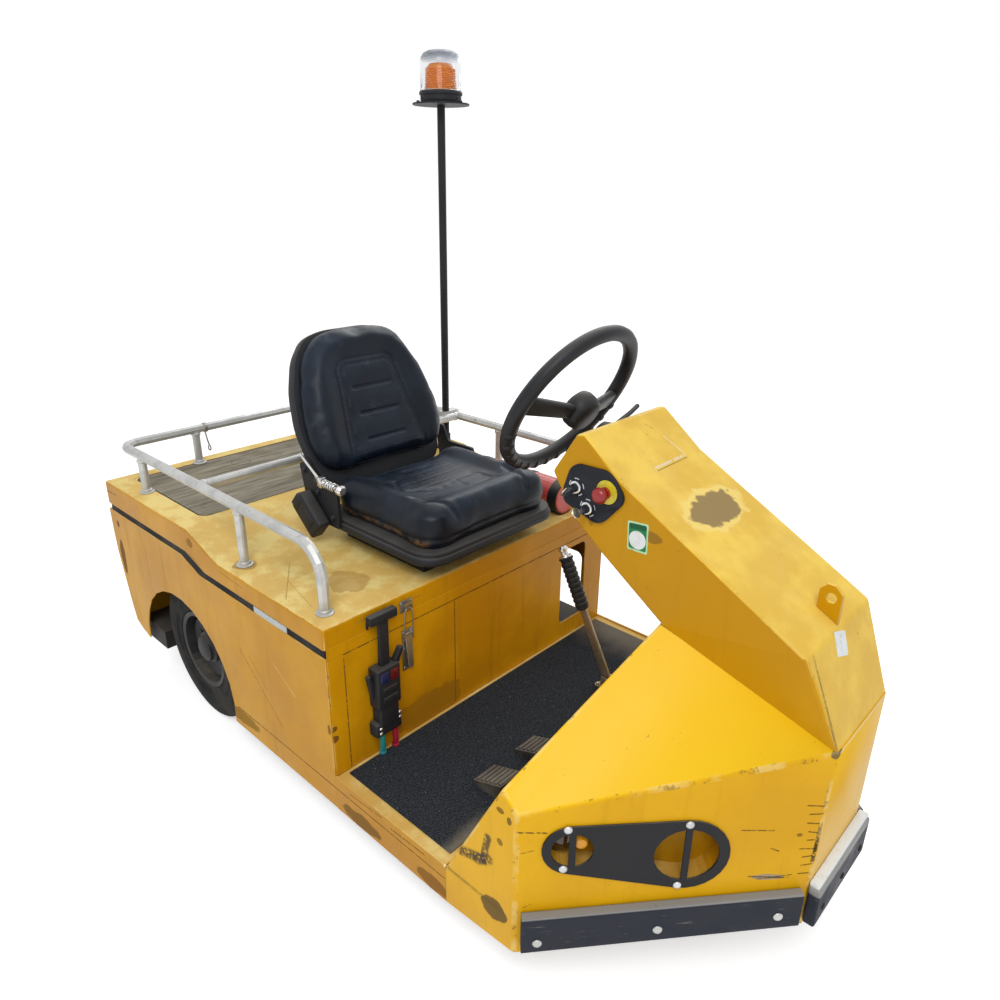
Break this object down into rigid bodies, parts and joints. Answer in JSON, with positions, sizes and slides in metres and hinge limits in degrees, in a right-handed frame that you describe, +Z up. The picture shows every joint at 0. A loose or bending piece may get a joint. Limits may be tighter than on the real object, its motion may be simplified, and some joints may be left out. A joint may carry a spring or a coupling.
{
  "type": "airport baggage tug",
  "caption": "Ride-on electric baggage tug with a hinged seat deck, open footwell, wedge nose over a steered wheel, luggage rails and a beacon on a mast.",
  "frame": {"origin": "on the ground under the middle of the machine's length and width", "axes": "+Z up, -Y the way it drives, +X the driver's left"},
  "size_m": [0.9716, 2.0446, 1.6976],
  "materials": {
    "yellow_paint": "worn satin",
    "black_paint": "worn satin",
    "black_rubber": "matte",
    "tyre_rubber": "matte",
    "galvanised_tube": "satin",
    "bare_steel": "satin",
    "grey_plywood": "matte",
    "seat_vinyl": "satin",
    "dark_plastic": "satin",
    "red_paint": "faded satin",
    "red_plastic": "gloss",
    "amber_lens": "gloss",
    "clear_cover": "gloss",
    "floor_mat": "matte"
  },
  "bodies": {
    "chassis": {"accelerator_pedal": "black_rubber", "battery": "dark_plastic", "battery_connector": "dark_plastic", "battery_wall": "yellow_paint", "brake_pedal": "black_rubber", "column_boss": "dark_plastic", "control_plate": "dark_plastic", "corner_bumper_left": "black_rubber", "corner_bumper_right": "black_rubber", "deck_seal": "black_rubber", "drive_unit": "black_paint", "floor_mat": "floor_mat", "floor_plate": "yellow_paint", "fork_carrier": "black_paint", "front_bumper": "black_rubber", "hinge_lower": "bare_steel", "hood_latch": "bare_steel", "lamp_guard_left": "black_paint", "lamp_guard_right": "black_paint", "lamp_pocket_left": "yellow_paint", "lamp_pocket_right": "yellow_paint", "lifting_tab": "yellow_paint", "main_frame": "black_paint", "nose_shell": "yellow_paint", "parking_lever": "bare_steel", "parking_lever_grip": "dark_plastic", "rear_panel": "yellow_paint", "side_panel_left": "yellow_paint", "side_panel_right": "yellow_paint", "steering_column": "yellow_paint", "stop_button": "red_plastic", "tow_coupling": "black_paint", "tow_pin": "bare_steel"},
    "deck": {"hood": "yellow_paint", "cargo_tray": "grey_plywood", "luggage_rail": "galvanised_tube", "mast": "black_paint", "mast_clamp": "galvanised_tube", "beacon_base": "dark_plastic", "beacon_lens": "amber_lens", "beacon_cover": "clear_cover", "seat_plinth": "black_paint", "seat_pan": "dark_plastic", "seat_cushion": "seat_vinyl", "seat_back_pad": "seat_vinyl", "seat_back_shell": "dark_plastic", "belt_retractor": "dark_plastic", "extinguisher": "red_paint", "extinguisher_valve": "bare_steel", "hood_keeper": "bare_steel", "hinge_upper": "bare_steel"},
    "fork": {"steering_fork": "black_paint"},
    "front_wheel": {"front_tyre": "tyre_rubber", "front_rim": "black_paint"},
    "rear_wheel_left": {"rear_left_tyre": "tyre_rubber", "rear_left_rim": "black_paint"},
    "rear_wheel_right": {"rear_right_tyre": "tyre_rubber", "rear_right_rim": "black_paint"},
    "steering_wheel": {"steering_wheel": "dark_plastic"}
  },
  "joints": [
    {"name": "deck_hinge", "type": "hinge", "parent": "chassis", "child": "deck", "pos_m": [0, 0.9415, 0.505], "axis": [-1, 0, 0], "range_deg": [0, 60]},
    {"name": "fork_steer", "type": "hinge", "parent": "chassis", "child": "fork", "pos_m": [0, -0.72, 0.2], "axis": [0, 0, 1], "range_deg": [-75, 75]},
    {"name": "front_wheel_roll", "type": "hinge", "parent": "fork", "child": "front_wheel", "pos_m": [0, -0.72, 0.185], "axis": [1, 0, 0], "continuous": true},
    {"name": "rear_wheel_left_roll", "type": "hinge", "parent": "chassis", "child": "rear_wheel_left", "pos_m": [0.41, 0.51, 0.2], "axis": [1, 0, 0], "continuous": true},
    {"name": "rear_wheel_right_roll", "type": "hinge", "parent": "chassis", "child": "rear_wheel_right", "pos_m": [-0.41, 0.51, 0.2], "axis": [1, 0, 0], "continuous": true},
    {"name": "steering_wheel_turn", "type": "hinge", "parent": "chassis", "child": "steering_wheel", "pos_m": [0, -0.338, 0.964], "axis": [0, 0.8729, 0.4879], "range_deg": [-300, 300]}
  ],
  "couplings": [
    {"joint": "steering_wheel_turn", "follows": "fork_steer", "ratio": 4}
  ]
}
